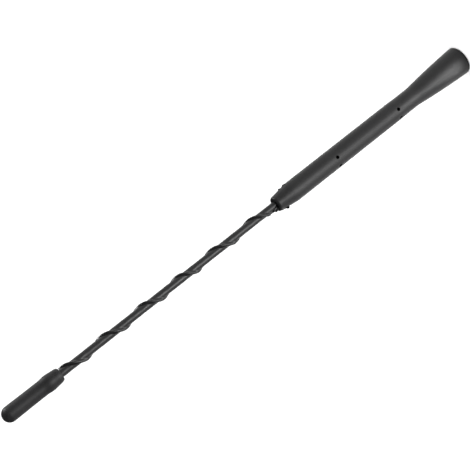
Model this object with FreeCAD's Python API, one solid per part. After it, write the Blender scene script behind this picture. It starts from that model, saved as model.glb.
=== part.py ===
import FreeCAD, Part
import math
import os

# Screw-on car antenna mast, in millimetres, standing on its foot with the tip up the Z axis.

# Handle
RIM_DIA = 15.9
RIM_ROUND = 0.6
FLARE_LENGTH = 36.0
FLARE_BULGE = 0.31
WAIST_DIA = 10.6
WAIST_LENGTH = 10.0
WAIST_BLEND = 4.0
GRIP_DIA = 10.86
GRIP_LENGTH = 74.2
NOSE_DIA = 8.3
NOSE_LENGTH = 11.2
NOSE_LIP = 1.1

# Marks of the handle's mould
PIN_HOLE_DIA = 1.4
PIN_HOLE_BELOW_NOSE = 29.5
PIN_HOLE_SPACING = 44.5
PIN_HOLE_SIDE = 235.0
PIN_HOLE_SPREAD = 57.0
FLASH_LARGE_DIA = 1.4
FLASH_LARGE_RISE = 6.5
FLASH_MIDDLE_DIA = 1.1
FLASH_MIDDLE_RISE = 4.5
FLASH_SMALL_DIA = 0.9
FLASH_SMALL_RISE = 1.2

# Rigid core in the handle
CORE_DIA = 7.4
CORE_FOOT_WALL = 0.9
CORE_FOOT_COVER = 2.0
FOOT_PAD = 1.5
CORE_NOSE_GAP = 10.0
CORE_CHAMFER = 0.6
LOCK_GROOVE_WIDTH = 2.0
LOCK_GROOVE_DEPTH = 0.5
LOCK_GROOVE_BELOW_TOP = 13.4
LOCK_GROOVE_SPACING = 42.0

# Brass insert in the foot
INSERT_RECESS = 0.5
COLLAR_DIA = 9.0
COLLAR_LENGTH = 2.5
HEX_WIDTH = 8.0
HEX_LENGTH = 15.0
SHANK_DIA = 6.0
SHANK_LENGTH = 13.0
THREAD_DIA = 5.0
THREAD_LENGTH = 13.0
THREAD_LEAD_IN = 0.5
ROD_SOCKET_DEPTH = 12.0

# Whip
ROD_DIA = 3.0
WIRE_WIDTH = 0.9
SLEEVE_WALL = 0.5
WHIP_IN_SIGHT = 135.0
LEAD_IN_SIGHT = 4.95
LEAD_SIDE = 180.0
WINDING_PITCH = 23.3
SLEEVE_IN_HANDLE = 20.0
SLEEVE_IN_CAP = 15.0
WIRE_SETBACK = 2.0
RIB_CREST_FACES = 3
RIB_ROOT_SINK = 0.15

# Tip cap
CAP_LENGTH = 32.7
CAP_DIA = 7.8
CAP_END_DIA = 3.2
BEAD_RISE = 0.3
BEAD_START = 2.8
BEAD_LENGTH = 7.6
CAP_LIP = 0.55
CAP_CLEARANCE = 0.05
CAP_END_GAP = 0.5
ROD_IN_CAP_END = 10.0

# Derived heights and radii
WAIST_TOP = FLARE_LENGTH + WAIST_LENGTH
NOSE_BASE = WAIST_TOP + WAIST_BLEND + GRIP_LENGTH
HANDLE_TOP = NOSE_BASE + NOSE_LENGTH
CORE_TOP = HANDLE_TOP - CORE_NOSE_GAP
COLLAR_TOP = INSERT_RECESS + COLLAR_LENGTH
HEX_TOP = COLLAR_TOP + HEX_LENGTH
HEX_CORNER = HEX_WIDTH / math.sqrt(3)
INSERT_TOP = HEX_TOP + SHANK_LENGTH
ROD_BOTTOM = INSERT_TOP - ROD_SOCKET_DEPTH
SLEEVE_BOTTOM = HANDLE_TOP - SLEEVE_IN_HANDLE
WINDING_START = HANDLE_TOP + LEAD_IN_SIGHT
CAP_BOTTOM = HANDLE_TOP + WHIP_IN_SIGHT
CAP_TOP = CAP_BOTTOM + CAP_LENGTH
SLEEVE_TOP = CAP_BOTTOM + SLEEVE_IN_CAP
WIRE_TOP = SLEEVE_TOP - WIRE_SETBACK
WIRE_BOTTOM = ROD_BOTTOM + WIRE_SETBACK
ROD_TOP = SLEEVE_TOP + CAP_END_GAP + ROD_IN_CAP_END
ROD_RADIUS = ROD_DIA / 2
WIRE_OFFSET = ROD_RADIUS + WIRE_WIDTH / 2
SLEEVE_RADIUS = ROD_RADIUS + SLEEVE_WALL
CREST_RADIUS = WIRE_WIDTH / 2 + SLEEVE_WALL
RIB_REACH = WIRE_OFFSET + CREST_RADIUS
TENT_ANGLE = math.acos((SLEEVE_RADIUS - CREST_RADIUS) / WIRE_OFFSET)

ORIGIN = FreeCAD.Vector(0, 0, 0)
UP = FreeCAD.Vector(0, 0, 1)
HALF_ROOT = math.sqrt(0.5)


def at(radius, height):
    return FreeCAD.Vector(radius, 0, height)


def polar(radius, degrees):
    angle = math.radians(degrees)
    return FreeCAD.Vector(radius * math.cos(angle), radius * math.sin(angle), 0)


# Turned shapes

def turned(start, *steps):
    # Each step is a line to one point, or an arc through one point to the next.
    here = at(*start)
    edges = []
    for step in steps:
        points = [at(*point) for point in step]
        if len(points) == 1:
            edges.append(Part.makeLine(here, points[0]))
        else:
            edges.append(Part.Arc(here, *points).toShape())
        here = points[-1]
    edges.append(Part.makeLine(here, at(*start)))
    return Part.Face(Part.Wire(edges)).revolve(ORIGIN, UP, 360)


def cylinder(diameter, bottom, top):
    return Part.makeCylinder(diameter / 2, top - bottom, UP * bottom)


def bulged(start, end, rise):
    middle = ((start[0] + end[0]) / 2 + rise, (start[1] + end[1]) / 2)
    return [middle, end]


def rounded_up(radius, height, size):
    # The corner at the outer lower edge of a turned shape.
    middle = (radius - size + size * HALF_ROOT, height + size - size * HALF_ROOT)
    return [middle, (radius, height + size)]


def rounded_in(radius, height, size):
    # The corner at the outer upper edge of a turned shape.
    middle = (radius - size + size * HALF_ROOT, height - size + size * HALF_ROOT)
    return [middle, (radius - size, height)]


# Sections that run up the handle with the wire and then wind round the rod

def section(points, height):
    corners = [FreeCAD.Vector(x, y, 0) for x, y in points]
    outline = Part.Wire(Part.makePolygon(corners + corners[:1]))
    outline.rotate(ORIGIN, UP, LEAD_SIDE)
    outline.translate(UP * height)
    return outline


def straight_run(points, bottom, top):
    return Part.Face(section(points, bottom)).extrude(UP * (top - bottom))


def wound_run(points, bottom, top):
    axis = Part.Wire(Part.makeLine(UP * bottom, UP * top))
    helix = Part.makeHelix(WINDING_PITCH, top - bottom, SLEEVE_RADIUS)
    helix.rotate(ORIGIN, UP, LEAD_SIDE)
    helix.translate(UP * bottom)
    sweep = Part.BRepOffsetAPI.MakePipeShell(axis)
    sweep.setAuxiliarySpine(Part.Wire(helix.Edges), False, 0)
    sweep.add(section(points, bottom), False, False)
    sweep.build()
    sweep.makeSolid()
    return sweep.shape()


def lead_and_winding(points, bottom, top):
    return straight_run(points, bottom, WINDING_START).fuse(wound_run(points, WINDING_START, top))


def wire_outline():
    # The round wire is drawn six-sided, with one flat on the rod.
    corner = WIRE_WIDTH / 2 / math.cos(math.pi / 6)
    angles = [math.pi / 6 + side * math.pi / 3 for side in range(6)]
    return [(WIRE_OFFSET + corner * math.cos(a), corner * math.sin(a)) for a in angles]


def channel_outline():
    # The wire's outline, left open towards the rod.
    right_top, top, left_top, left_low, low, right_low = wire_outline()
    inward = ROD_RADIUS / 2
    return [right_top, top, left_top, (inward, left_top[1]), (inward, left_low[1]), left_low, low, right_low]


def rib_outline():
    # Shrunk flanks leave the rod near its tangents and meet over the wire.
    turns = [TENT_ANGLE * (1 - 2 * step / RIB_CREST_FACES) for step in range(RIB_CREST_FACES + 1)]
    crest = [(WIRE_OFFSET + CREST_RADIUS * math.cos(a), CREST_RADIUS * math.sin(a)) for a in turns]
    root = SLEEVE_RADIUS - RIB_ROOT_SINK
    foot_x = root * math.cos(TENT_ANGLE)
    foot_y = root * math.sin(TENT_ANGLE)
    return crest + [(foot_x, -foot_y), (foot_x, foot_y)]


# Whip

def make_whip_rod():
    return cylinder(ROD_DIA, ROD_BOTTOM, ROD_TOP)


def make_antenna_wire():
    return lead_and_winding(wire_outline(), WIRE_BOTTOM, WIRE_TOP)


def make_whip_sleeve():
    tube = cylinder(2 * SLEEVE_RADIUS, SLEEVE_BOTTOM, SLEEVE_TOP)
    tented = tube.fuse(lead_and_winding(rib_outline(), SLEEVE_BOTTOM, SLEEVE_TOP))
    hollow = tented.cut(make_whip_rod())
    return hollow.cut(lead_and_winding(channel_outline(), SLEEVE_BOTTOM, SLEEVE_TOP))


def sleeve_pocket():
    tube = cylinder(2 * SLEEVE_RADIUS, SLEEVE_BOTTOM, WINDING_START)
    return tube.fuse(straight_run(rib_outline(), SLEEVE_BOTTOM, WINDING_START))


def root_channel(bottom):
    rod = cylinder(ROD_DIA, bottom, SLEEVE_BOTTOM)
    return rod.fuse(straight_run(channel_outline(), bottom, SLEEVE_BOTTOM))


# Tip cap

def make_tip_cap():
    radius = CAP_DIA / 2
    end_radius = CAP_END_DIA / 2
    bead_start = (radius, CAP_BOTTOM + BEAD_START)
    bead_end = (radius, CAP_BOTTOM + BEAD_START + BEAD_LENGTH)
    dome_base = CAP_TOP - math.sqrt(radius ** 2 - end_radius ** 2)
    dome_middle = (radius * HALF_ROOT, dome_base + radius * HALF_ROOT)
    mouth_radius = radius - CAP_LIP
    lip_middle = (radius - CAP_LIP * (1 - HALF_ROOT), CAP_BOTTOM + BEAD_START * (1 - HALF_ROOT))
    outside = turned(
        (0, CAP_BOTTOM),
        [(mouth_radius, CAP_BOTTOM)],
        [lip_middle, bead_start],
        bulged(bead_start, bead_end, BEAD_RISE),
        [(radius, dome_base)],
        [dome_middle, (end_radius, CAP_TOP)],
        [(0, CAP_TOP)],
    )
    bore_top = SLEEVE_TOP + CAP_END_GAP
    whip_bore = cylinder(2 * (RIB_REACH + CAP_CLEARANCE), CAP_BOTTOM, bore_top)
    return outside.cut(whip_bore).cut(make_whip_rod())


# Brass insert

def insert_blank():
    corners = [polar(HEX_CORNER, 60 * side) + UP * COLLAR_TOP for side in range(7)]
    hexagon = Part.Face(Part.Wire(Part.makePolygon(corners))).extrude(UP * HEX_LENGTH)
    collar = cylinder(COLLAR_DIA, INSERT_RECESS, COLLAR_TOP)
    shank = cylinder(SHANK_DIA, HEX_TOP, INSERT_TOP)
    return collar.fuse(hexagon).fuse(shank)


def make_threaded_insert():
    thread_radius = THREAD_DIA / 2
    mouth_radius = thread_radius + THREAD_LEAD_IN
    thread_top = INSERT_RECESS + THREAD_LENGTH
    thread_bore = turned(
        (0, INSERT_RECESS),
        [(mouth_radius, INSERT_RECESS)],
        [(thread_radius, INSERT_RECESS + THREAD_LEAD_IN)],
        [(thread_radius, thread_top)],
        [(0, thread_top + thread_radius / math.sqrt(3))],
    )
    return insert_blank().cut(thread_bore).cut(root_channel(ROD_BOTTOM))


# Handle

def core_blank():
    radius = CORE_DIA / 2
    foot_radius = HEX_CORNER + CORE_FOOT_WALL
    foot_top = HEX_TOP + CORE_FOOT_COVER
    upper_groove = CORE_TOP - LOCK_GROOVE_BELOW_TOP
    blank = turned(
        (0, FOOT_PAD),
        [(foot_radius, FOOT_PAD)],
        [(foot_radius, foot_top)],
        [(radius, foot_top)],
        [(radius, CORE_TOP - CORE_CHAMFER)],
        [(radius - CORE_CHAMFER, CORE_TOP)],
        [(0, CORE_TOP)],
    )
    for height in (upper_groove, upper_groove - LOCK_GROOVE_SPACING):
        ring = cylinder(CORE_DIA, height, height + LOCK_GROOVE_WIDTH)
        floor = cylinder(CORE_DIA - 2 * LOCK_GROOVE_DEPTH, height, height + LOCK_GROOVE_WIDTH)
        blank = blank.cut(ring.cut(floor))
    return blank


def make_grip_core():
    return core_blank().cut(insert_blank()).cut(root_channel(ROD_BOTTOM)).cut(sleeve_pocket())


def pin_holes():
    holes = []
    sides = [
        PIN_HOLE_SIDE + half + lean
        for half in (0, 180)
        for lean in (-PIN_HOLE_SPREAD / 2, PIN_HOLE_SPREAD / 2)
    ]
    upper_station = NOSE_BASE - PIN_HOLE_BELOW_NOSE
    for height in (upper_station, upper_station - PIN_HOLE_SPACING):
        for side in sides:
            holes.append(Part.makeCylinder(PIN_HOLE_DIA / 2, GRIP_DIA, UP * height, polar(1, side)))
    return holes


def nose_radius(rise):
    share = rise / (NOSE_LENGTH - NOSE_LIP)
    return (GRIP_DIA + (NOSE_DIA - GRIP_DIA) * share) / 2


def flash_nubs():
    large = (FLASH_LARGE_DIA, FLASH_LARGE_RISE, LEAD_SIDE)
    middle = (FLASH_MIDDLE_DIA, FLASH_MIDDLE_RISE, LEAD_SIDE + 180)
    small = (FLASH_SMALL_DIA, FLASH_SMALL_RISE, LEAD_SIDE + 180)
    return [
        Part.makeSphere(diameter / 2, polar(nose_radius(rise), side) + UP * (NOSE_BASE + rise))
        for diameter, rise, side in (large, middle, small)
    ]


def make_grip_cover():
    rim = RIM_DIA / 2
    waist = WAIST_DIA / 2
    grip = GRIP_DIA / 2
    nose = NOSE_DIA / 2
    flare_start = (rim, RIM_ROUND)
    cover = turned(
        (0, 0),
        [(rim - RIM_ROUND, 0)],
        rounded_up(rim, 0, RIM_ROUND),
        bulged(flare_start, (waist, FLARE_LENGTH), FLARE_BULGE),
        [(waist, WAIST_TOP)],
        [(grip, WAIST_TOP + WAIST_BLEND)],
        [(grip, NOSE_BASE)],
        [(nose, HANDLE_TOP - NOSE_LIP)],
        rounded_in(nose, HANDLE_TOP, NOSE_LIP),
        [(0, HANDLE_TOP)],
    )
    cover = cover.fuse(flash_nubs()).cut(pin_holes())
    insert_well = cylinder(COLLAR_DIA, 0, FOOT_PAD)
    return cover.cut(core_blank()).cut(insert_well).cut(sleeve_pocket())


def main():
    os.makedirs("parts", exist_ok=True)
    pieces = {
        "grip_cover": make_grip_cover(),
        "grip_core": make_grip_core(),
        "threaded_insert": make_threaded_insert(),
        "whip_rod": make_whip_rod(),
        "antenna_wire": make_antenna_wire(),
        "whip_sleeve": make_whip_sleeve(),
        "tip_cap": make_tip_cap(),
    }
    for name, shape in pieces.items():
        shape.exportStep(f"parts/{name}.step")


main()
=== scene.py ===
import enum
import logging
import math
from dataclasses import dataclass

import bpy
import numpy as np
from mathutils import Matrix, Vector


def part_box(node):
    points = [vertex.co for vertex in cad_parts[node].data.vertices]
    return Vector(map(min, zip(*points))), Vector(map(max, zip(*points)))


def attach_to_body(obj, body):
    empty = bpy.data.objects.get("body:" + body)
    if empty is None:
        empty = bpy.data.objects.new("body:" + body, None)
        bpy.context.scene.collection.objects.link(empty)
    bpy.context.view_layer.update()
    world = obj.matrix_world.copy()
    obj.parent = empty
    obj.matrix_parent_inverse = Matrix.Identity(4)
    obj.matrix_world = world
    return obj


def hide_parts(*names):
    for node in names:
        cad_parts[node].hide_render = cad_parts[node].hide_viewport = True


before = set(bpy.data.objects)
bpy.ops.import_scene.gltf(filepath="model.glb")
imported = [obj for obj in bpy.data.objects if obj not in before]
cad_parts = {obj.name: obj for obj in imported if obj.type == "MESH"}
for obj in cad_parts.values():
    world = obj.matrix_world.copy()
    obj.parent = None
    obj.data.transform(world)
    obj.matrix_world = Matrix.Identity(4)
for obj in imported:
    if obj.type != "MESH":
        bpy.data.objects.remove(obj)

# Sizes are in millimetres unless a name says otherwise, and meshes are written in metres.
MM = 0.001
FULL_TURN = 2.0 * math.pi
BODY = "root"
LOG = logging.getLogger("antenna_mast")

Pair = tuple[float, float]
Colour = tuple[float, float, float]
Array = np.ndarray
Piece = bpy.types.Object
Material = bpy.types.Material
Tree = bpy.types.NodeTree
Node = bpy.types.Node
Socket = bpy.types.NodeSocket
WHOLE: Pair = (0.0, 1.0)

# Painted shade for holes and gaps: the black colour and the low gloss painted where shade falls, and the
# attribute that says how much painted shade each point gets.
PAINTED_SHADE_ATTRIBUTE = "painted_gap_shade"
PAINTED_SHADE_BLACK: Colour = (0.0005, 0.0005, 0.0005)
PAINTED_SHADE_GLOSS: Pair = (0.5, 0.02)

# The colour sockets of a mix node, by their place in its lists.
MIX_LOW = 6
MIX_HIGH = 7
MIX_RESULT = 2


# Surfaces

class Ends(enum.Enum):
    """How the first and last rows of a surface grid are closed."""

    LOOP = "the last row joins the first"
    POLES = "the first and last rows are single points"


def placed(name: str, data: bpy.types.ID) -> Piece:
    """Put something new into the scene.

    Args:
        name: The object's name.
        data: Its mesh, light or camera.

    Returns:
        The new object.
    """
    piece = bpy.data.objects.new(name, data)
    bpy.context.scene.collection.objects.link(piece)
    return piece


def surface(name: str, grid: Array, ends: Ends, crease: float) -> Piece:
    """Make one closed mesh from a grid of points.

    Each point is joined to its neighbours in both directions. Columns always close on themselves, and rows
    close as ends says.

    Args:
        name: The piece's name.
        grid: Points in millimetres, rows by columns by three.
        ends: How the rows close.
        crease: Edges that turn by more than this many degrees stay sharp.

    Returns:
        The new object, at the origin, in metres.
    """
    rows, columns, _ = grid.shape
    if ends is Ends.LOOP:
        points = grid.reshape(-1, 3)
        index = np.arange(rows * columns).reshape(rows, columns)
        index = np.vstack([index, index[:1]])
    else:
        points = np.vstack([grid[0, :1], grid[1:-1].reshape(-1, 3), grid[-1, :1]])
        index = np.arange(1, 1 + (rows - 2) * columns).reshape(rows - 2, columns)
    beside = np.roll(index, -1, axis=1)
    faces = np.stack([index[:-1], beside[:-1], beside[1:], index[1:]], axis=-1).reshape(-1, 4).tolist()
    if ends is Ends.POLES:
        first = np.zeros(columns, dtype=int)
        last = np.full(columns, len(points) - 1)
        faces += np.stack([first, beside[0], index[0]], axis=-1).tolist()
        faces += np.stack([index[-1], beside[-1], last], axis=-1).tolist()
    mesh = bpy.data.meshes.new(name)
    mesh.from_pydata((points * MM).tolist(), [], faces)
    mesh.shade_smooth()
    mesh.set_sharp_from_angle(angle=math.radians(crease))
    return placed(name, mesh)


def round_grid(radius: Array, angle: Array, height: Array) -> Array:
    """Turn radius, angle in radians and height into points: radius times cosine and sine, and the height."""
    radius, angle, height = np.broadcast_arrays(radius, angle, height)
    return np.stack([radius * np.cos(angle), radius * np.sin(angle), height], axis=-1)


def turned(profile: Array, angle: Array) -> Array:
    """Turn a profile of radius and height round the mast's axis, one row for each of its points."""
    return round_grid(profile[:, :1], angle, profile[:, 1:])


def chain(corners: list[Pair], counts: tuple[int, ...]) -> Array:
    """Give points along straight stretches from corner to corner, each evenly divided, without its end.

    Args:
        corners: Radius and height of each corner.
        counts: Number of points in each stretch. Nought leaves its first corner out.

    Returns:
        An array of points, two numbers each.
    """
    stretches = []
    for start, end, count in zip(corners[:-1], corners[1:], counts):
        share = np.linspace(0.0, 1.0, count, endpoint=False)[:, None]
        stretches.append(np.array(start) * (1.0 - share) + np.array(end) * share)
    return np.vstack(stretches)


def bend(centre: Pair, size: Pair, turns: Pair, count: int) -> Array:
    """Give an arc's radius and height: its centre plus its size times cosine and sine of turns in degrees."""
    turn = np.radians(np.linspace(*turns, count))[:, None]
    return np.array(centre) + np.array(size) * np.hstack([np.cos(turn), np.sin(turn)])


def eased(share: Array) -> Array:
    """Ease from nought to one: three times the square less twice the cube, held at both ends."""
    share = np.clip(share, 0.0, 1.0)
    return share * share * (3.0 - 2.0 * share)


def bell(away: Array, width: float) -> Array:
    """Give a bell of height one: e to the power of less the square of the distance over the width."""
    return np.exp(-(away / width) ** 2)


def merged(*numbers: Array) -> Array:
    """Sort several lists of numbers into one, dropping near repeats."""
    return np.unique(np.round(np.concatenate(numbers), 4))


def turn_between(angle: Array, side: float) -> Array:
    """Give the signed shortest turn from a side to an angle, in radians."""
    return (angle - side + math.pi) % FULL_TURN - math.pi


def paint_gap_shade(piece: Piece, shade: Array) -> None:
    """Keep the painted shade for each point of a looped surface: nought in the open, one where a gap is
    painted black.
    """
    layer = piece.data.attributes.new(PAINTED_SHADE_ATTRIBUTE, "FLOAT", "POINT")
    layer.data.foreach_set("value", np.clip(shade, 0.0, 1.0).astype(np.float32).ravel())


# Shader nodes

@dataclass(frozen=True)
class Noise:
    """A layer of noise: its waves per metre, and the number and strength of its finer layers.

    A stretch scales the place along its axes first. The span, where there is one, becomes a mask from nought
    to one.
    """

    scale: float
    detail: float
    rough: float
    span: Pair | None = None
    stretch: tuple[float, float, float] | None = None


class NodePen:
    """Adds nodes to one tree and joins them."""

    def __init__(self, tree: Tree) -> None:
        """Keep the tree that is drawn in."""
        self.tree = tree

    def add(self, kind: str, **settings: object) -> Node:
        """Add a node.

        Args:
            kind: The node's type name.
            settings: Properties of the node, such as its operation.

        Returns:
            The new node.
        """
        node = self.tree.nodes.new(kind)
        for name, value in settings.items():
            setattr(node, name, value)
        return node

    def join(self, source: Socket, target: Socket) -> None:
        """Link an output to an input."""
        self.tree.links.new(source, target)

    def place(self) -> Socket:
        """Give the piece's Object coordinates."""
        return self.add("ShaderNodeTexCoord").outputs["Object"]

    def noise(self, vector: Socket, layer: Noise) -> Socket:
        """Add a layer of noise on a vector.

        Args:
            vector: Where the noise is read.
            layer: The noise.

        Returns:
            The noise's value, or its mask.
        """
        if layer.stretch:
            mapping = self.add("ShaderNodeMapping")
            mapping.inputs["Scale"].default_value = layer.stretch
            self.join(vector, mapping.inputs["Vector"])
            vector = mapping.outputs["Vector"]
        node = self.add("ShaderNodeTexNoise")
        node.inputs["Scale"].default_value = layer.scale
        node.inputs["Detail"].default_value = layer.detail
        node.inputs["Roughness"].default_value = layer.rough
        self.join(vector, node.inputs["Vector"])
        if layer.span:
            return self.remap(node.outputs["Fac"], layer.span, WHOLE)
        return node.outputs["Fac"]

    def remap(self, value: Socket, source: Pair, target: Pair) -> Socket:
        """Carry a value from one range to another, held at both ends.

        Args:
            value: The value.
            source: The range that it comes from.
            target: The range that it goes to.

        Returns:
            The new value.
        """
        node = self.add("ShaderNodeMapRange", clamp=True)
        for name, bound in zip(("From Min", "From Max", "To Min", "To Max"), (*source, *target)):
            node.inputs[name].default_value = bound
        self.join(value, node.inputs["Value"])
        return node.outputs["Result"]

    def math(self, operation: str, first: Socket, second: Socket | float) -> Socket:
        """Work out one sum of two values.

        Args:
            operation: The sum's name.
            first: The first value.
            second: The second value, from a node or plain.

        Returns:
            The result.
        """
        node = self.add("ShaderNodeMath", operation=operation)
        self.join(first, node.inputs[0])
        if isinstance(second, Socket):
            self.join(second, node.inputs[1])
        else:
            node.inputs[1].default_value = second
        return node.outputs[0]

    def weigh(self, first: Socket, second: Socket, share: float) -> Socket:
        """Add two values: the first times a share, and the second times the rest of one."""
        rest = self.math("MULTIPLY", second, 1.0 - share)
        return self.math("ADD", self.math("MULTIPLY", first, share), rest)

    def tint(self, share: Socket, low: Socket | Colour, high: Colour) -> Socket:
        """Blend two colours by a share that varies over the surface.

        Args:
            share: How much of the second colour there is.
            low: The first colour, from a node or plain.
            high: The second colour.

        Returns:
            The blend.
        """
        node = self.add("ShaderNodeMix", data_type="RGBA")
        self.join(share, node.inputs["Factor"])
        if isinstance(low, Socket):
            self.join(low, node.inputs[MIX_LOW])
        else:
            node.inputs[MIX_LOW].default_value = (*low, 1.0)
        node.inputs[MIX_HIGH].default_value = (*high, 1.0)
        return node.outputs[MIX_RESULT]


class Effect(enum.Enum):
    """Surface effects that several finishes share, each one node group."""

    MOULD_GRAIN = "mould_grain"
    HANDLING_MARKS = "handling_marks"
    METAL_TARNISH = "metal_tarnish"


class Effects:
    """Builds each shared node group once and places it in materials."""

    PEBBLE = Noise(1500.0, 2.0, 0.5)
    FINE_PEBBLE = Noise(5200.0, 1.0, 0.5)
    FLECK = Noise(700.0, 4.0, 0.6, span=(0.35, 0.68))
    RUB = Noise(62.0, 3.0, 0.55, span=(0.36, 0.66))
    WIPE = Noise(900.0, 3.0, 0.6, span=(0.4, 0.72), stretch=(1.0, 1.0, 0.045))
    DUST = Noise(2600.0, 2.0, 0.5, span=(0.64, 0.74))
    TARNISH = Noise(520.0, 4.0, 0.6, span=(0.4, 0.7))
    RINGS = Noise(6500.0, 1.0, 0.5, stretch=(0.02, 0.02, 1.0))

    def __init__(self) -> None:
        """Build the groups."""
        self.groups: dict[Effect, Tree] = {
            Effect.MOULD_GRAIN: self.mould_grain(),
            Effect.HANDLING_MARKS: self.handling_marks(),
            Effect.METAL_TARNISH: self.metal_tarnish(),
        }

    def place(self, pen: NodePen, effect: Effect, **values: float) -> Node:
        """Put a shared effect into a material.

        Args:
            pen: The material's pen.
            effect: Which effect.
            values: The effect's own inputs, with underscores for spaces.

        Returns:
            The group node, which reads Object coordinates.
        """
        node = pen.add("ShaderNodeGroup", node_tree=self.groups[effect])
        pen.join(pen.place(), node.inputs["Place"])
        for name, value in values.items():
            node.inputs[name.replace("_", " ").capitalize()].default_value = value
        return node

    @staticmethod
    def opened(effect: Effect, inputs: dict[str, float],
               outputs: tuple[str, ...]) -> tuple[NodePen, dict, dict]:
        """Start a node group with a Place vector, number inputs and number outputs.

        Args:
            effect: The effect that names the group.
            inputs: Each number input and its usual value.
            outputs: Each output's name.

        Returns:
            The group's pen, its inputs' sockets and its outputs' sockets.
        """
        tree = bpy.data.node_groups.new(effect.value, "ShaderNodeTree")
        tree.interface.new_socket("Place", in_out="INPUT", socket_type="NodeSocketVector")
        for label, value in inputs.items():
            socket = tree.interface.new_socket(label, in_out="INPUT", socket_type="NodeSocketFloat")
            socket.default_value = value
        for label in outputs:
            tree.interface.new_socket(label, in_out="OUTPUT", socket_type="NodeSocketFloat")
        pen = NodePen(tree)
        source = pen.add("NodeGroupInput")
        target = pen.add("NodeGroupOutput")
        return pen, source.outputs, target.inputs

    def mould_grain(self) -> Tree:
        """Build the fine pebble that a spark-eroded mould leaves: two sizes of noise added together.

        Returns:
            The group's tree.
        """
        pen, source, target = self.opened(
            Effect.MOULD_GRAIN, {"Grain size": 1.0, "Fine share": 0.4}, ("Height", "Fleck"))
        scaled = pen.add("ShaderNodeVectorMath", operation="SCALE")
        pen.join(source["Place"], scaled.inputs["Vector"])
        pen.join(source["Grain size"], scaled.inputs["Scale"])
        place = scaled.outputs["Vector"]
        fine = pen.math("MULTIPLY", pen.noise(place, self.FINE_PEBBLE), source["Fine share"])
        pen.join(pen.math("ADD", pen.noise(place, self.PEBBLE), fine), target["Height"])
        pen.join(pen.noise(place, self.FLECK), target["Fleck"])
        return pen.tree

    def handling_marks(self) -> Tree:
        """Build rubbed patches, lengthwise wipe marks and sparse dust from plain and stretched noise.

        Returns:
            The group's tree.
        """
        pen, source, target = self.opened(Effect.HANDLING_MARKS, {"Dust cover": 0.3}, ("Rub", "Wipe", "Dust"))
        pen.join(pen.noise(source["Place"], self.RUB), target["Rub"])
        pen.join(pen.noise(source["Place"], self.WIPE), target["Wipe"])
        dust = pen.noise(source["Place"], self.DUST)
        pen.join(pen.math("MULTIPLY", dust, source["Dust cover"]), target["Dust"])
        return pen.tree

    def metal_tarnish(self) -> Tree:
        """Build brown tarnish clouds and the fine rings that a turning tool leaves.

        Returns:
            The group's tree.
        """
        pen, source, target = self.opened(Effect.METAL_TARNISH, {"Ring depth": 0.5}, ("Cloud", "Height"))
        pen.join(pen.noise(source["Place"], self.TARNISH), target["Cloud"])
        rings = pen.noise(source["Place"], self.RINGS)
        pen.join(pen.math("MULTIPLY", rings, source["Ring depth"]), target["Height"])
        return pen.tree


# Finishes

def new_material(name: str) -> tuple[Material, NodePen, Node]:
    """Start a node material.

    Args:
        name: The material's name.

    Returns:
        The material, a pen for its tree, and its main shader.
    """
    material = bpy.data.materials.new(name)
    material.use_nodes = True
    pen = NodePen(material.node_tree)
    return material, pen, material.node_tree.nodes["Principled BSDF"]


def add_bump(pen: NodePen, shader: Node, height: Socket, depth: float) -> None:
    """Feed a height to the shader's normal through a bump.

    Args:
        pen: The material's pen.
        shader: Its main shader.
        height: The height, about nought to one.
        depth: What a height of one stands for, in millimetres.
    """
    bump = pen.add("ShaderNodeBump")
    bump.inputs["Strength"].default_value = 1.0
    bump.inputs["Distance"].default_value = depth * MM
    pen.join(height, bump.inputs["Height"])
    pen.join(bump.outputs["Normal"], shader.inputs["Normal"])


@dataclass(frozen=True)
class BlackFinish:
    """A black rubber or plastic with mould grain, rubbed patches, wipe marks and a little dust.

    With the painted-shade flag set, shade is painted where the piece's gap numbers are high: the colour is
    blended to black and the gloss turned down.
    """

    name: str
    deep: Colour
    worn: Colour
    dust: Colour
    roughness: Pair
    grain_size: float
    grain_depth: float
    dust_cover: float
    gloss_index: float
    rub_share: float = 0.6
    wipe_share: float = 0.55
    paints_gap_shade: bool = False

    def make(self, effects: Effects) -> Material:
        """Build the material.

        Args:
            effects: The shared effects.

        Returns:
            The finished material.
        """
        material, pen, shader = new_material(self.name)
        grain = effects.place(pen, Effect.MOULD_GRAIN, grain_size=self.grain_size).outputs
        marks = effects.place(pen, Effect.HANDLING_MARKS, dust_cover=self.dust_cover).outputs
        shade = pen.weigh(marks["Rub"], grain["Fleck"], self.rub_share)
        colour = pen.tint(marks["Dust"], pen.tint(shade, self.deep, self.worn), self.dust)
        if self.paints_gap_shade:
            # Painted shade: black colour and low gloss where the gap numbers are high, standing in for the
            # shade in holes and gaps.
            gap = pen.add("ShaderNodeAttribute", attribute_name=PAINTED_SHADE_ATTRIBUTE).outputs["Fac"]
            colour = pen.tint(gap, colour, PAINTED_SHADE_BLACK)
            pen.join(pen.remap(gap, WHOLE, PAINTED_SHADE_GLOSS), shader.inputs["Specular IOR Level"])
        pen.join(colour, shader.inputs["Base Color"])
        patchy = pen.weigh(marks["Wipe"], grain["Fleck"], self.wipe_share)
        pen.join(pen.remap(patchy, WHOLE, self.roughness), shader.inputs["Roughness"])
        add_bump(pen, shader, grain["Height"], self.grain_depth)
        shader.inputs["IOR"].default_value = self.gloss_index
        return material


@dataclass(frozen=True)
class MetalFinish:
    """Brass or copper with turning rings and brown tarnish."""

    name: str
    bright: Colour
    tarnished: Colour
    roughness: Pair
    ring_depth: float
    ring_bump: float = 0.02

    def make(self, effects: Effects) -> Material:
        """Build the material.

        Args:
            effects: The shared effects.

        Returns:
            The finished material.
        """
        material, pen, shader = new_material(self.name)
        tarnish = effects.place(pen, Effect.METAL_TARNISH, ring_depth=self.ring_depth).outputs
        pen.join(pen.tint(tarnish["Cloud"], self.bright, self.tarnished), shader.inputs["Base Color"])
        pen.join(pen.remap(tarnish["Cloud"], WHOLE, self.roughness), shader.inputs["Roughness"])
        add_bump(pen, shader, tarnish["Height"], self.ring_depth * self.ring_bump)
        shader.inputs["Metallic"].default_value = 1.0
        return material


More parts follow.
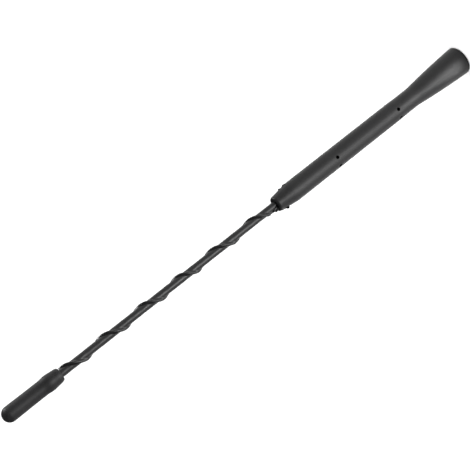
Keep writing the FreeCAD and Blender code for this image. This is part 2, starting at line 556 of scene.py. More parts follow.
@dataclass(frozen=True)
class FibreFinish:
    """Pale resin with lengthwise glass fibres."""

    name: str
    pale: Colour
    deep: Colour
    roughness: Pair
    strands: Noise
    strand_share: float = 0.7
    strand_span: Pair = (0.3, 0.7)
    strand_depth: float = 0.02

    def make(self, effects: Effects) -> Material:
        """Build the material.

        Args:
            effects: The shared effects.

        Returns:
            The finished material.
        """
        material, pen, shader = new_material(self.name)
        marks = effects.place(pen, Effect.HANDLING_MARKS)
        strands = pen.noise(pen.place(), self.strands)
        mixed = pen.weigh(strands, marks.outputs["Rub"], self.strand_share)
        pen.join(pen.tint(mixed, self.pale, self.deep), shader.inputs["Base Color"])
        pen.join(pen.remap(strands, self.strand_span, self.roughness), shader.inputs["Roughness"])
        add_bump(pen, shader, strands, self.strand_depth)
        return material


@dataclass(frozen=True)
class FloorFinish:
    """A plain pale floor with hardly visible mottling."""

    name: str
    pale: Colour
    shade: Colour
    mottle: Noise = Noise(9.0, 2.0, 0.5)
    roughness: Pair = (0.85, 0.95)
    gloss_level: float = 0.1

    def make(self) -> Material:
        """Build the material.

        Returns:
            The finished material.
        """
        material, pen, shader = new_material(self.name)
        cloud = pen.noise(pen.place(), self.mottle)
        pen.join(pen.tint(cloud, self.shade, self.pale), shader.inputs["Base Color"])
        pen.join(pen.remap(cloud, WHOLE, self.roughness), shader.inputs["Roughness"])
        shader.inputs["Specular IOR Level"].default_value = self.gloss_level
        return material


# Paints black shade into the handle's pin holes, flash, parting line and mouth.
HANDLE_RUBBER = BlackFinish(
    name="handle_rubber",
    deep=(0.0045, 0.0045, 0.0047), worn=(0.0085, 0.0085, 0.0088), dust=(0.05, 0.05, 0.05),
    roughness=(0.40, 0.54), grain_size=1.0, grain_depth=0.012, dust_cover=0.25, gloss_index=1.35, paints_gap_shade=True,
)
CAP_RUBBER = BlackFinish(
    name="cap_rubber",
    deep=(0.006, 0.006, 0.0063), worn=(0.012, 0.012, 0.0124), dust=(0.06, 0.06, 0.06),
    roughness=(0.44, 0.56), grain_size=0.8, grain_depth=0.014, dust_cover=0.3, gloss_index=1.28,
    wipe_share=0.1,
)
# Paints black shade into the sleeve's slanted grooves and its inside.
SLEEVE_SHRINK = BlackFinish(
    name="sleeve_shrink",
    deep=(0.003, 0.003, 0.0032), worn=(0.007, 0.007, 0.0073), dust=(0.05, 0.05, 0.05),
    roughness=(0.33, 0.43), grain_size=0.6, grain_depth=0.008, dust_cover=0.2, gloss_index=1.36, paints_gap_shade=True,
)
BEAD_GLUE = BlackFinish(
    name="bead_glue",
    deep=(0.0015, 0.0015, 0.0015), worn=(0.004, 0.004, 0.004), dust=(0.02, 0.02, 0.02),
    roughness=(0.38, 0.55), grain_size=0.5, grain_depth=0.03, dust_cover=0.1, gloss_index=1.2,
)
TURNED_BRASS = MetalFinish(
    name="turned_brass",
    bright=(0.72, 0.52, 0.24), tarnished=(0.42, 0.27, 0.11), roughness=(0.22, 0.42), ring_depth=0.6,
)
DRAWN_COPPER = MetalFinish(
    name="drawn_copper",
    bright=(0.74, 0.37, 0.22), tarnished=(0.34, 0.15, 0.09), roughness=(0.25, 0.45), ring_depth=0.2,
)
GLASS_ROD = FibreFinish(
    name="glass_rod",
    pale=(0.78, 0.76, 0.64), deep=(0.58, 0.55, 0.42), roughness=(0.3, 0.5),
    strands=Noise(2400.0, 3.0, 0.6, stretch=(1.0, 1.0, 0.02)),
)
CORE_NYLON = BlackFinish(
    name="core_nylon",
    deep=(0.006, 0.006, 0.0062), worn=(0.012, 0.012, 0.012), dust=(0.03, 0.03, 0.03),
    roughness=(0.48, 0.62), grain_size=1.2, grain_depth=0.01, dust_cover=0.1, gloss_index=1.45,
)
FLOOR_WHITE = FloorFinish(name="floor_white", pale=(0.96, 0.96, 0.96), shade=(0.94, 0.94, 0.94))


def attach(piece: Piece, material: Material) -> Piece:
    """Dress a new piece and let it ride on the mast.

    Args:
        piece: The piece.
        material: Its finish.

    Returns:
        The same piece.
    """
    piece.data.materials.append(material)
    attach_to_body(piece, BODY)
    return piece


def dress_node(node: str, material: Material) -> None:
    """Give a carried-over CAD node a finish."""
    for slot in bpy.data.objects[node].material_slots:
        slot.material = material


# Whip

@dataclass
class Winding:
    """The wire's path: straight up the handle, then round the rod with a slightly uneven pitch."""

    rod_radius: float = 1.5
    wire_radius: float = 0.45
    sleeve_wall: float = 0.5
    thin_share: float = 0.25
    rod_gap_share: float = 0.25
    pitch: float = 23.3
    start_height: float = 140.35
    start_softness: float = 0.9
    lead_side: float = math.pi
    wander_rise: float = 1.9
    wander_sink: float = -0.5
    wander_height: float = 180.0
    wander_spread: float = 18.0

    @property
    def wire_offset(self) -> float:
        """Distance from the axis to the middle of the wire."""
        return self.rod_radius + self.wire_radius

    @property
    def sleeve_radius(self) -> float:
        """Outer radius of the sleeve where it lies on the rod."""
        return self.rod_radius + self.sleeve_wall

    @property
    def thin_radius(self) -> float:
        """Least outer radius where the sleeve's wall is cut."""
        return self.rod_radius + self.thin_share * self.sleeve_wall

    def side(self, height: Array) -> Array:
        """Work out the wire's angle at each height.

        The angle grows by one turn per pitch above the start. The corner at the start is softened, and one
        bell-shaped wander pushes the middle turns up the rod.

        Args:
            height: Heights above the foot.

        Returns:
            Angles in radians.
        """
        wander = self.wander_sink + self.wander_rise * bell(height - self.wander_height, self.wander_spread)
        above = (height - wander - self.start_height) / self.start_softness
        return self.lead_side + FULL_TURN * self.start_softness * np.logaddexp(0.0, above) / self.pitch

    def tent(self, turn: Array, flank_sink: float = 0.0) -> Array:
        """Work out the sleeve's outer radius beside the wire.

        Away from the wire it is the rod's radius and the wall. Over the wire it is a circle round the wire,
        and between them runs the straight line that touches both circles, sunk a little in its middle.

        Args:
            turn: Angles from the wire, in radians.
            flank_sink: How far the shrunk flanks are drawn in.

        Returns:
            Radii from the rod's axis.
        """
        turn = np.abs(turn)
        offset = self.wire_offset
        low = self.sleeve_radius
        crest = self.wire_radius + self.sleeve_wall
        tangent = math.acos((low - crest) / offset)
        crest_edge = math.atan2(crest * math.sin(tangent), offset + crest * math.cos(tangent))
        flank = low / np.cos(np.clip(tangent - turn, 0.0, tangent))
        share = np.clip((turn - crest_edge) / (tangent - crest_edge), 0.0, 1.0)
        flank = flank - flank_sink * np.sin(math.pi * share) ** 2
        over = np.clip(crest ** 2 - (offset * np.sin(turn)) ** 2, 0.0, None)
        cap = offset * np.cos(turn) + np.sqrt(over)
        return np.where(turn < crest_edge, cap, np.maximum(flank, low))

    def inside(self, turn: Array, gap: float) -> Array:
        """Work out the sleeve's inner radius: the rod, or a circle round the wire where that is further.

        Args:
            turn: Angles from the wire, in radians.
            gap: Room round the wire.

        Returns:
            Radii from the rod's axis.
        """
        turn = np.abs(turn)
        reach = self.wire_radius + gap
        over = np.clip(reach ** 2 - (self.wire_offset * np.sin(turn)) ** 2, 0.0, None)
        bulge = np.where(over > 0.0, self.wire_offset * np.cos(turn) + np.sqrt(over), 0.0)
        bulge = np.where(np.cos(turn) > 0.0, bulge, 0.0)
        return np.maximum(self.rod_radius + self.rod_gap_share * gap, bulge)


@dataclass
class Whip:
    """The flexible whip: the wound wire and the sleeve shrunk over it."""

    winding: Winding
    sleeve_bottom: float
    sleeve_top: float
    wire_bottom: float
    wire_top: float
    mouth_height: float
    row_step: float = 0.3
    sleeve_columns: int = 72
    wire_columns: int = 14
    crease: float = 50.0
    crest_crowding: float = 0.5
    flank_sink: float = 0.16
    cut_reach: float = 4.8
    cut_slant: float = 1.05
    cut_width: float = 0.27
    cut_depth: float = 0.5
    bare_step: float = 0.3
    wire_gap: float = 0.08
    edge_round: float = 0.12
    crinkle: float = 0.035
    crinkle_folds: float = 3.0
    crinkle_climb: float = 0.8
    crinkle_beat: float = 0.37
    crinkle_start: float = 1.1

    def make_sleeve(self) -> Piece:
        """Build the shrunk sleeve.

        Each row is the tented outline turned to the wire's angle at its height, crinkled by two sines.
        Columns crowd towards the crest by a cubic, so the rib stays round. Beside the mouth the wall over the
        lead is cut on a slant: it steps down between two slanted grooves of bell section. The wall is closed
        by carrying the rows down again inside.

        Returns:
            The sleeve.
        """
        share = np.linspace(-1.0, 1.0, self.sleeve_columns, endpoint=False)
        turn = math.pi * ((1.0 - self.crest_crowding) * share + self.crest_crowding * share ** 3)
        count = round((self.sleeve_top - self.sleeve_bottom) / self.row_step)
        height = np.linspace(self.sleeve_bottom, self.sleeve_top, count)[:, None]
        angle = self.winding.side(height) + turn
        folds = np.sin(angle * self.crinkle_folds + height * self.crinkle_climb)
        ripple = folds * np.sin(height * self.crinkle_beat + self.crinkle_start)
        slant = self.cut_slant * (self.mouth_height + self.cut_reach - height) / self.cut_reach
        groove = bell(np.abs(turn) - slant, self.cut_width) * (slant > -self.cut_width)
        bare = eased((slant - np.abs(turn)) / self.cut_width)
        outside = self.winding.tent(turn, self.flank_sink) + self.crinkle * ripple
        cut = self.cut_depth * groove + self.bare_step * bare
        outside = np.maximum(outside - cut, self.winding.thin_radius)
        from_edge = np.minimum(height - self.sleeve_bottom, self.sleeve_top - height)
        outside = outside - self.edge_round * (1.0 - eased(from_edge / (2.0 * self.edge_round)))
        inside = np.broadcast_to(self.winding.inside(turn, self.wire_gap), outside.shape)
        outer = round_grid(outside, angle, height)
        inner = round_grid(inside, angle, height)[::-1]
        piece = surface("shrink_sleeve", np.vstack([outer, inner]), Ends.LOOP, self.crease)
        # Painted shade: the slanted grooves and the whole inside of the wall are painted black with low
        # gloss.
        paint_gap_shade(piece, np.vstack([groove, np.ones_like(groove)]))
        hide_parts("whip_sleeve")
        return piece

    def make_wire(self) -> Piece:
        """Build the wire: a level circle carried up the winding's path and closed to a point at both ends.

        Returns:
            The wire.
        """
        count = round((self.wire_top - self.wire_bottom) / self.row_step)
        height = np.linspace(self.wire_bottom, self.wire_top, count)
        height = np.concatenate([height[:1], height, height[-1:]])[:, None]
        width = np.full(height.shape, self.winding.wire_radius)
        width[[0, -1]] = 0.0
        around = np.linspace(0.0, FULL_TURN, self.wire_columns, endpoint=False)
        middle = round_grid(self.winding.wire_offset, self.winding.side(height), height)
        ring = round_grid(width, around, 0.0)
        piece = surface("wound_wire", middle + ring, Ends.POLES, self.crease)
        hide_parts("antenna_wire")
        return piece

    def build(self, effects: Effects) -> list[Piece]:
        """Build and dress the whip, and return its new pieces."""
        dress_node("whip_rod", GLASS_ROD.make(effects))
        return [attach(self.make_sleeve(), SLEEVE_SHRINK.make(effects)),
                attach(self.make_wire(), DRAWN_COPPER.make(effects))]


# Handle

@dataclass(frozen=True)
class Nub:
    """A nub of flash on the handle's nose. Its side is in degrees."""

    rise: float
    side: float
    radius: float
    stretch: float


@dataclass(frozen=True)
class Wave:
    """One sine round a ring: its number of waves, its start in radians and its height."""

    count: float
    start: float
    height: float


@dataclass
class Handle:
    """The moulded rubber handle, with the marks that its mould left and the glue at its mouth.

    Sides and turns are in degrees.
    """

    winding: Winding
    top: float
    rim_radius: float = 7.95
    rim_round: float = 0.6
    flare_top: float = 36.0
    flare_bulge: float = 0.31
    waist_radius: float = 5.3
    waist_top: float = 46.0
    grip_start: float = 50.0
    grip_radius: float = 5.43
    nose_length: float = 11.2
    nose_radius: float = 4.15
    nose_lip: float = 0.8
    lip_rise: float = 1.5
    edge_turn: float = 8.0
    softness: float = 1.4
    soft_samples: int = 9
    foot_pad: float = 1.5
    well_radius: float = 4.5
    core_radius: float = 3.7
    core_foot_radius: float = 5.519
    core_foot_top: float = 20.0
    core_nose_gap: float = 10.0
    hole_radius: float = 0.82
    hole_edge: float = 0.12
    hole_floor: float = 0.04
    # How far the painted shade reaches past each pin hole's edge, as a dark ring painted round it.
    painted_hole_shade_margin: float = 0.14
    hole_stations: Pair = (50.2, 94.7)
    hole_sides: tuple[float, ...] = (26.5, 83.5, 206.5, 263.5)
    parting_rise: float = 0.05
    parting_width: float = 0.16
    nubs: tuple[Nub, ...] = (
        Nub(rise=6.5, side=180.0, radius=0.8, stretch=1.2),
        Nub(rise=4.5, side=0.0, radius=0.42, stretch=1.6),
        Nub(rise=1.2, side=0.0, radius=0.34, stretch=3.2),
    )
    nub_roughness: float = 0.25
    nub_waves: Pair = (9.0, 5.0)
    fin_start: float = 6.6
    fin_end: float = 10.2
    fin_ease: float = 0.5
    fin_rise: float = 0.34
    fin_width: float = 0.3
    fin_level: float = 0.6
    fin_waves: Pair = (2.6, 5.7)
    fin_shift: float = 1.0
    # Flash of this height or more is fully painted black as painted shade.
    flash_painted_shade_height: float = 0.25
    # A line of painted shade beside the parting, by the nubs.
    parting_shade_start: float = -9.0
    parting_shade_ease: float = 2.0
    parting_shade_side: float = -15.0
    parting_shade_width: float = 0.8
    parting_shade_strength: float = 0.7
    mouth_gap: float = 0.1
    mouth_step: float = 0.1
    lead_gap: float = 0.22
    lead_reach: float = 0.6
    base_columns: int = 128
    fine_turn: float = 9.0
    fine_reach: float = 1.2
    fine_step: float = 0.07
    row_step: float = 1.0
    nose_step: float = 0.14
    lip_rows: int = 12
    mouth_rows: int = 6
    inner_rows: tuple[int, ...] = (12, 0, 4, 2, 3, 5)
    rim_rows: int = 8
    crease: float = 40.0
    bead_rise: float = 0.05
    bead_size: float = 0.5
    bead_least: float = 0.15
    bead_gap: float = 0.05
    bead_tall: float = 1.5
    bead_tongue: float = 3.6
    bead_lumps: float = 0.3
    bead_waves: tuple[Wave, ...] = (Wave(3.0, 0.6, 1.0), Wave(7.0, 2.1, 0.7), Wave(13.0, 0.0, 0.5))
    bead_columns: int = 160
    bead_points: int = 20
    bead_crease: float = 60.0

    @property
    def nose_base(self) -> float:
        """Height where the nose starts to taper."""
        return self.top - self.nose_length

    def columns(self) -> Array:
        """Give the angles of the grid's columns, closer together beside holes and nubs.

        Returns:
            Angles in radians, from nought to one turn.
        """
        even = np.linspace(0.0, 360.0, self.base_columns, endpoint=False)
        step = math.degrees(self.fine_step / self.grip_radius)
        near = np.arange(-self.fine_turn, self.fine_turn, step)
        sides = self.hole_sides + tuple({nub.side for nub in self.nubs})
        fine = [(side + near) % 360.0 for side in sides]
        return np.radians(merged(even, *fine))

    def rows(self) -> Array:
        """Give the heights of the outside's rows, closer together beside holes and on the nose.

        Returns:
            Heights above the foot.
        """
        even = np.arange(self.rim_round, self.nose_base, self.row_step)
        near = np.arange(-self.fine_reach, self.fine_reach, self.fine_step)
        fine = [station + near for station in self.hole_stations]
        nose = np.arange(self.nose_base, self.top - self.lip_rise, self.nose_step)
        return merged(even, nose, *fine)

    def plain_radius(self, height: Array) -> Array:
        """Work out the outside's radius before the mould's marks.

        Straight runs join the rim, waist, grip and nose. The flare swells by a parabola, and corners are
        softened by averaging over a short stretch.

        Args:
            height: Heights above the foot.

        Returns:
            Radii.
        """
        near = height[..., None] + np.linspace(-self.softness, self.softness, self.soft_samples)
        marks = [self.rim_round, self.flare_top, self.waist_top, self.grip_start, self.nose_base,
                 self.top - self.lip_rise]
        radii = [self.rim_radius, self.waist_radius, self.waist_radius, self.grip_radius, self.grip_radius,
                 self.nose_radius]
        share = np.clip((near - self.rim_round) / (self.flare_top - self.rim_round), 0.0, 1.0)
        swell = 4.0 * self.flare_bulge * share * (1.0 - share)
        return (np.interp(near, marks, radii) + swell).mean(axis=-1)

    def marked_radius(self, height: Array, angle: Array) -> Array:
        """Work out the outside's radius with the mould's marks.

        A pin hole drops to the core inside a circle with an eased edge. Two parting lines add a bell-shaped
        ridge, and the flash stands on them.

        Args:
            height: Heights, as a column.
            angle: Angles, as a row.

        Returns:
            Radii on the grid.
        """
        plain = self.plain_radius(height)
        radius = plain + self.flash(height, angle)
        for side in (0.0, math.pi):
            radius = radius + self.parting_rise * bell(turn_between(angle, side) * plain, self.parting_width)
        return radius - self.hole_share(height, angle) * (plain - self.core_radius - self.hole_floor)

    def flash(self, height: Array, angle: Array) -> Array:
        """Work out how far the flash on the nose stands out.

        A nub is a half ball that is stretched up the nose and roughened by a sine. A torn fin beside the
        mouth is a bell across the parting whose height varies by two sines.

        Args:
            height: Heights, as a column.
            angle: Angles, as a row.

        Returns:
            Heights above the plain surface, on the grid.
        """
        plain = self.plain_radius(height)
        rise = height - self.nose_base
        slow, quick = self.fin_waves
        torn = (1.0 - self.fin_level) * np.sin(slow * rise) * np.sin(quick * rise + self.fin_shift)
        length = eased((rise - self.fin_start) / self.fin_ease) * eased((self.fin_end - rise) / self.fin_ease)
        across = turn_between(angle, self.winding.lead_side) * plain
        raised = self.fin_rise * (self.fin_level + torn) * length * bell(across, self.fin_width)
        for nub in self.nubs:
            across = turn_between(angle, math.radians(nub.side)) * plain
            along = (rise - nub.rise) / nub.stretch
            lump = np.sqrt(np.clip(nub.radius ** 2 - across ** 2 - along ** 2, 0.0, None))
            rough = np.sin(self.nub_waves[0] * along + self.nub_waves[1] * across)
            raised = raised + lump * (1.0 + self.nub_roughness * rough)
        return raised

    def hole_share(self, height: Array, angle: Array, wider: float = 0.0) -> Array:
        """Work out how far each point lies in a pin hole: one inside a circle, eased to nought over its edge.

        Args:
            height: Heights, as a column.
            angle: Angles, as a row.
            wider: How much is added to the circle's radius.

        Returns:
            Shares on the grid.
        """
        station = np.array(self.hole_stations)[:, None, None, None]
        side = np.radians(self.hole_sides)[None, :, None, None]
        away = np.hypot(height - station, turn_between(angle, side) * self.plain_radius(height))
        inward = self.hole_radius + wider + self.hole_edge / 2.0 - away
        return eased(inward / self.hole_edge).max(axis=(0, 1))

    def parting_shade(self, height: Array, angle: Array) -> Array:
        """Work out the line of painted shade beside the parting, by the nubs: a bell across that line, with
        no ridge or groove under it.

        Args:
            height: Heights, as a column.
            angle: Angles, as a row.

        Returns:
            Shares on the grid.
        """
        rise = height - self.nose_base
        start = eased((rise - self.parting_shade_start) / self.parting_shade_ease)
        end = eased((self.fin_end - rise) / self.parting_shade_ease)
        across = turn_between(angle, math.radians(self.parting_shade_side)) * self.grip_radius
        return start * end * bell(across, self.parting_shade_width)

    def mouth_radius(self, angle: Array) -> Array:
        """Work out the mouth's radius: the sleeve's outline and a gap, wider by a bell beside the lead."""
        turn = turn_between(angle, self.winding.lead_side)
        return self.winding.tent(turn) + self.mouth_gap + self.lead_gap * bell(turn, self.lead_reach)

    def make_cover(self) -> Piece:
        """Build the rubber cover.

        Rows climb the outside, turn over the lip, follow the sleeve's outline down the mouth, go down beside
        the core and come back along the foot, so the wall is one closed loop.

        Returns:
            The cover.
        """
        angle = self.columns()[None, :]
        height = self.rows()[:, None]
        outside = round_grid(self.marked_radius(height, angle), angle, height)
        lip_height = self.top - self.lip_rise
        lip_start = float(self.plain_radius(np.array([lip_height]))[0])
        lip = bend((lip_start - self.nose_lip, lip_height), (self.nose_lip, self.lip_rise),
                   (self.edge_turn, 90.0), self.lip_rows)
        core_top = self.top - self.core_nose_gap
        mouth_height = np.append(self.top, np.linspace(self.top - self.mouth_step, core_top, self.mouth_rows))
        rim_start = self.rim_radius - self.rim_round
        foot = chain([
            (self.core_radius, core_top), (self.core_radius, self.core_foot_top),
            (self.core_foot_radius, self.core_foot_top), (self.core_foot_radius, self.foot_pad),
            (self.well_radius, self.foot_pad), (self.well_radius, 0.0), (rim_start, 0.0),
        ], self.inner_rows)
        rim = bend((rim_start, self.rim_round), (self.rim_round, self.rim_round),
                   (-90.0, -self.edge_turn), self.rim_rows)
        inner = np.vstack([foot, rim])
        grid = np.vstack([
            outside,
            turned(lip, angle),
            round_grid(self.mouth_radius(angle), angle, mouth_height[:, None]),
            turned(inner, angle),
        ])
        piece = surface("handle_cover", grid, Ends.LOOP, self.crease)
        # Painted shade: the pin holes and a ring round each, the flash, a line beside the parting and the
        # mouth's wall are painted black with low gloss.
        rough = np.maximum(self.parting_shade_strength * self.parting_shade(height, angle),
                           eased(self.flash(height, angle) / self.flash_painted_shade_height))
        marks = np.maximum(self.hole_share(height, angle, self.painted_hole_shade_margin), rough)
        lip_shade = np.zeros((len(lip), angle.size))
        mouth_shade = np.ones((len(mouth_height), angle.size))
        inner_shade = np.zeros((len(inner), angle.size))
        paint_gap_shade(piece, np.vstack([marks, lip_shade, mouth_shade, inner_shade]))
        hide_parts("grip_cover")
        return piece

    def make_bead(self) -> Piece:
        """Build the glue that was squeezed out of the mouth beside the lead.

        A ring follows the sleeve's outline. Its section is an ellipse that is largest and tallest beside the
        lead by a bell, and swells and shrinks round the ring by a few sines.

        Returns:
            The glue ring.
        """
        angle = np.linspace(0.0, FULL_TURN, self.bead_columns, endpoint=False)[:, None]
        around = np.linspace(0.0, FULL_TURN, self.bead_points, endpoint=False)[None, :]
        lumps = sum(wave.height * np.sin(wave.count * angle + wave.start) for wave in self.bead_waves)
        turn = turn_between(angle, self.winding.lead_side)
        near_lead = bell(turn, self.lead_reach)
        share = self.bead_least + (1.0 - self.bead_least) * near_lead
        size = self.bead_size * share * (1.0 + self.bead_lumps * lumps)
        radius = self.winding.tent(turn) + self.bead_gap + size * np.cos(around)
        tall = self.bead_tall + self.bead_tongue * near_lead
        height = self.top + self.bead_rise + tall * size * np.sin(around)
        return surface("mouth_glue", round_grid(radius, angle, height)[::-1], Ends.LOOP, self.bead_crease)

    def build(self, effects: Effects) -> list[Piece]:
        """Build and dress the handle, and return its new pieces."""
        dress_node("grip_core", CORE_NYLON.make(effects))
        return [attach(self.make_cover(), HANDLE_RUBBER.make(effects)),
                attach(self.make_bead(), BEAD_GLUE.make(effects))]


# Foot

@dataclass
class FootSocket:
    """The brass insert in the foot and the thread inside it."""

    bottom: float
    lead_in: float = 0.5
    thread_length: float = 12.5
    major_radius: float = 2.5
    minor_radius: float = 2.08
    pitch: float = 0.8
    root_share: float = 0.44
    crest_share: float = 0.1
    steps_per_turn: int = 48
    run_out_turns: float = 0.5
    crease: float = 30.0

    def make_thread(self) -> Piece:
        """Build the thread's ridge.

        A flat-topped triangle is carried round a helix inside the bore. It shrinks to the bore's wall over
        half a turn at both ends.

        Returns:
            The ridge.
        """
        turns = self.thread_length / self.pitch - 1.0
        around = np.linspace(0.0, turns, round(turns * self.steps_per_turn))[:, None]
        fade = eased(np.minimum(around, turns - around) / self.run_out_turns)
        depth = (self.major_radius - self.minor_radius) * np.array([0.0, 1.0, 1.0, 0.0])
        corners = np.array([-self.root_share, -self.crest_share, self.crest_share, self.root_share])
        middle = self.bottom + self.lead_in + self.pitch * (around + 0.5)
        radius = self.major_radius - depth * fade
        grid = round_grid(radius, around * FULL_TURN, middle + self.pitch * corners * fade)
        return surface("socket_thread", grid, Ends.POLES, self.crease)

    def build(self, effects: Effects) -> list[Piece]:
        """Build and dress the socket.

        Args:
            effects: The shared effects.

        Returns:
            Its new piece.
        """
        brass = TURNED_BRASS.make(effects)
        dress_node("threaded_insert", brass)
        return [attach(self.make_thread(), brass)]


# Tip

@dataclass
class TipCap:
    """The round-ended rubber cap on the whip's tip."""

    bottom: float
    top: float
    mouth_radius: float = 2.98
    lip_height: float = 3.8
    body_radius: float = 3.86
    bead_middle: float = 6.6
    bead_reach: float = 4.0
    bead_rise: float = 0.32
    swell_start: float = 17.0
    swell_rise: float = 0.1
    dome_radius: float = 3.96
    bore_radius: float = 2.95
    bore_depth: float = 15.5
    rod_radius: float = 1.51
    rod_depth: float = 25.5
    columns: int = 96
    lip_rows: int = 14
    row_step: float = 0.4
    dome_rows: int = 22
    bore_rows: tuple[int, ...] = (2, 4, 2, 6, 2)
    crease: float = 40.0

    @property
    def dome_start(self) -> float:
        """Height of the dome's lower edge above the cap's open end."""
        return self.top - self.bottom - self.dome_radius

    def outer_radius(self, rise: Array) -> Array:
        """Work out the outside's radius below the dome.

        A quarter ellipse rounds the lip, a raised cosine makes the bead, and the body swells a little towards
        the dome.

        Args:
            rise: Heights above the cap's open end.

        Returns:
            Radii.
        """
        near = np.clip((rise - self.bead_middle) / self.bead_reach, -1.0, 1.0)
        bead = self.bead_rise * (0.5 + 0.5 * np.cos(math.pi * near))
        swell = self.swell_rise * eased((rise - self.swell_start) / (self.dome_start - self.swell_start))
        short = np.clip(1.0 - rise / self.lip_height, 0.0, 1.0)
        lip = (self.body_radius - self.mouth_radius) * (1.0 - np.sqrt(1.0 - short ** 2))
        return self.body_radius + bead + swell - lip

    def make_cap(self) -> Piece:
        """Build the cap: a profile turned round the axis, from the bore's end out to the tip.

        Returns:
            The cap.
        """
        rise = merged(np.linspace(0.0, self.lip_height, self.lip_rows),
                      np.arange(self.lip_height, self.dome_start, self.row_step))
        bore_top = self.bottom + self.bore_depth
        rod_top = self.bottom + self.rod_depth
        bore = chain([
            (0.0, rod_top), (self.rod_radius, rod_top), (self.rod_radius, bore_top),
            (self.bore_radius, bore_top), (self.bore_radius, self.bottom), (self.mouth_radius, self.bottom),
        ], self.bore_rows)
        outside = np.stack([self.outer_radius(rise), self.bottom + rise], axis=-1)
        dome = bend((0.0, self.top - self.dome_radius), (self.dome_radius, self.dome_radius),
                    (0.0, 90.0), self.dome_rows)
        profile = np.vstack([bore, outside, dome])
        angle = np.linspace(0.0, FULL_TURN, self.columns, endpoint=False)[None, :]
        piece = surface("tip_cover", turned(profile, angle), Ends.POLES, self.crease)
        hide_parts("tip_cap")
        return piece

    def build(self, effects: Effects) -> list[Piece]:
        """Build and dress the cap, and return it."""
        return [attach(self.make_cap(), CAP_RUBBER.make(effects))]


# Studio

@dataclass(frozen=True)
class Panel:
    """A soft light panel that the camera doesn't see. Places are in metres and turns in degrees.

    It lies just above the floor and faces up unless its height and its aim say otherwise. The aim's distance
    is a share of the panel's own.
    """

    name: str
    side: float
    distance: float
    width: float
    tall: float
    power: float
    height: float = 0.001
    aim_share: float = 1.0
    aim_height: float = 1.0
    spread: float = 180.0

    def make(self) -> None:
        """Put the panel on its side of the mast, level across, and face it to its aim on the same side."""
        light = bpy.data.lights.new(self.name, "AREA")
        light.shape = "RECTANGLE"
        light.size = self.width
        light.size_y = self.tall
        light.spread = math.radians(self.spread)
        light.energy = self.power
        lamp = placed(self.name, light)
        lamp.visible_camera = False
        turn = math.radians(self.side)
        outward = Vector((math.cos(turn), math.sin(turn), 0.0))
        across = Vector((-math.sin(turn), math.cos(turn), 0.0))
        up = Vector((0.0, 0.0, 1.0))
        place = outward * self.distance + up * self.height
        aim = outward * (self.aim_share * self.distance) + up * self.aim_height
        back = (place - aim).normalized()
        facing = Matrix((across, back.cross(across), back)).transposed()
        lamp.matrix_world = Matrix.Translation(place) @ facing.to_4x4()


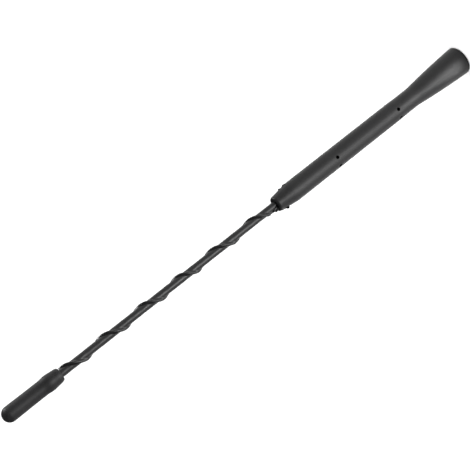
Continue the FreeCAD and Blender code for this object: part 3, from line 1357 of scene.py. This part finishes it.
@dataclass
class Studio:
    """The pale floor, the soft light and the camera. Places are in metres and turns in degrees."""

    floor_reach: float = 30.0
    floor_lines: int = 9
    sky: Colour = (1.0, 1.0, 1.0)
    sky_strength: float = 0.12
    overhead_strength: float = 3.9
    overhead_spread: float = 35.0
    lens: float = 89.23
    sensor: float = 36.0
    clip: Pair = (0.01, 100.0)
    camera_distance: float = 0.5697
    camera_rise: float = 20.0
    camera_roll: float = 128.2
    look_height: float = 0.1619
    look_aside: float = 0.0006
    panels: tuple[Panel, ...] = (
        Panel("near_panel", side=239.5, distance=0.075, width=0.034, tall=0.117, power=0.1),
        Panel("middle_panel", side=234.0, distance=0.25, width=0.169, tall=0.227, power=0.475),
        Panel("far_panel", side=250.0, distance=0.54, width=0.324, tall=0.355, power=5.13),
        Panel("outer_panel", side=251.0, distance=1.05, width=0.551, tall=0.467, power=10.2),
        Panel("rim_panel", side=18.0, distance=1.0, width=0.22, tall=0.2, power=0.24,
              height=0.52, aim_share=0.0, aim_height=0.24, spread=24.0),
    )

    def make_floor(self) -> None:
        """Lay the floor: a level square under the foot, divided on a grid of two parameters."""
        steps = np.linspace(-self.floor_reach, self.floor_reach, self.floor_lines)
        across, along = np.meshgrid(steps, steps)
        points = np.stack([across, along, np.zeros_like(across)], axis=-1).reshape(-1, 3)
        index = np.arange(len(points)).reshape(len(steps), len(steps))
        quads = np.stack([index[:-1, :-1], index[:-1, 1:], index[1:, 1:], index[1:, :-1]], axis=-1)
        mesh = bpy.data.meshes.new("floor")
        mesh.from_pydata(points.tolist(), [], quads.reshape(-1, 4).tolist())
        mesh.materials.append(FLOOR_WHITE.make())
        floor = placed("floor", mesh)

    def make_light(self) -> None:
        """Set the dim sky, the broad overhead light, which the gloss doesn't mirror, and the panels."""
        world = bpy.data.worlds.new("studio")
        world.use_nodes = True
        backdrop = world.node_tree.nodes["Background"]
        backdrop.inputs["Color"].default_value = (*self.sky, 1.0)
        backdrop.inputs["Strength"].default_value = self.sky_strength
        bpy.context.scene.world = world
        bpy.context.scene.view_settings.view_transform = "Standard"
        overhead = bpy.data.lights.new("overhead", "SUN")
        overhead.energy = self.overhead_strength
        overhead.angle = math.radians(self.overhead_spread)
        placed("overhead", overhead).visible_glossy = False
        for panel in self.panels:
            panel.make()

    def make_camera(self) -> None:
        """Stand the camera in front of the mast, and roll it so that the mast lies on a slant, tip down."""
        camera = bpy.data.cameras.new("camera")
        camera.lens = self.lens
        camera.sensor_width = self.sensor
        camera.clip_start, camera.clip_end = self.clip
        stand = placed("camera", camera)
        rise = math.radians(self.camera_rise)
        target = Vector((self.look_aside, 0.0, self.look_height))
        place = target + self.camera_distance * Vector((0.0, -math.cos(rise), math.sin(rise)))
        facing = (target - place).to_track_quat("-Z", "Y").to_matrix().to_4x4()
        roll = Matrix.Rotation(math.radians(-self.camera_roll), 4, "Z")
        stand.matrix_world = Matrix.Translation(place) @ facing @ roll
        bpy.context.scene.camera = stand

    def build(self) -> None:
        """Set the whole stage."""
        self.make_floor()
        self.make_light()
        self.make_camera()


def node_heights(node: str) -> Pair:
    """Give a CAD node's lowest and highest points above the foot, in millimetres."""
    low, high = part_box(node)
    return low[2] / MM, high[2] / MM


def main() -> None:
    """Build the mast's pieces in order, log each new piece's faces and set the stage."""
    logging.basicConfig(level=logging.INFO, format="%(name)s: %(message)s")
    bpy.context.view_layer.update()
    effects = Effects()
    winding = Winding()
    sleeve_bottom, sleeve_top = node_heights("whip_sleeve")
    wire_bottom, wire_top = node_heights("antenna_wire")
    cap_bottom, cap_top = node_heights("tip_cap")
    handle_top = node_heights("grip_cover")[1]
    parts = (
        Handle(winding, handle_top),
        FootSocket(bottom=node_heights("threaded_insert")[0]),
        Whip(winding, sleeve_bottom, sleeve_top, wire_bottom, wire_top, mouth_height=handle_top),
        TipCap(cap_bottom, cap_top),
    )
    for part in parts:
        for piece in part.build(effects):
            LOG.info("%s built with %d faces", piece.name, len(piece.data.polygons))
    Studio().build()


if __name__ == "__main__":
    main()
